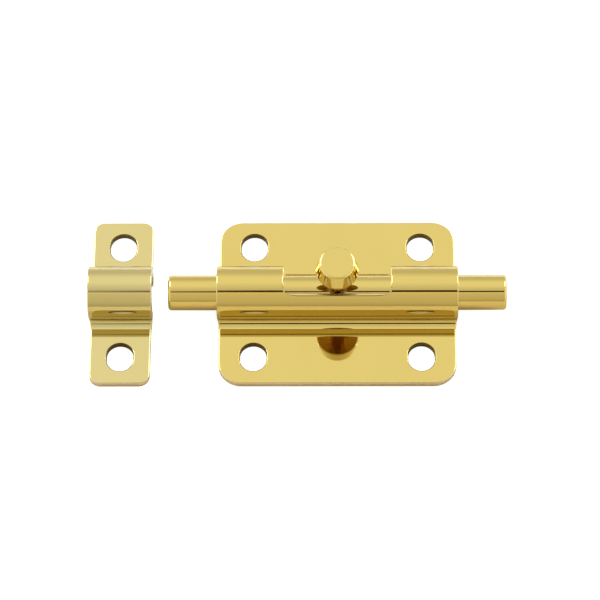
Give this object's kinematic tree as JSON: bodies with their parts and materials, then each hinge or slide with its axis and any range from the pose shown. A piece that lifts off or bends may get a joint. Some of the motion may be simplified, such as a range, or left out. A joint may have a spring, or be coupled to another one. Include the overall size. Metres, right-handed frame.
{
  "type": "surface barrel bolt",
  "caption": "Surface barrel bolt: a round rod with a turned knob slides in a pressed plate's arched barrel and enters a separate looped strike.",
  "frame": {"origin": "centre of the whole set's box in plan, on the plane of the plates' backs, where the door and the frame are", "axes": "+X along the rod away from the strike, +Y up the plates with the window's open side on that side, +Z out from the door towards the knob"},
  "size_m": [0.0942, 0.042, 0.0212],
  "materials": {
    "polished_brass": "mirror polished",
    "pale_brass": "mirror polished",
    "spring_steel": "cold rolled"
  },
  "bodies": {
    "plates": {"bolt_plate": "polished_brass", "strike_plate": "pale_brass"},
    "spring": {"friction_spring": "spring_steel"},
    "bolt": {"bolt_rod": "polished_brass", "knob": "polished_brass"}
  },
  "joints": [
    {"name": "bolt_slide", "type": "slide", "parent": "plates", "child": "spring", "axis": [-1, 0, 0], "range_m": [-0.0099, 0.0099]},
    {"name": "bolt_turn", "type": "hinge", "parent": "spring", "child": "bolt", "pos_m": [0.00901, 0, 0.00585], "axis": [-1, 0, 0], "range_deg": [0, 88]}
  ]
}
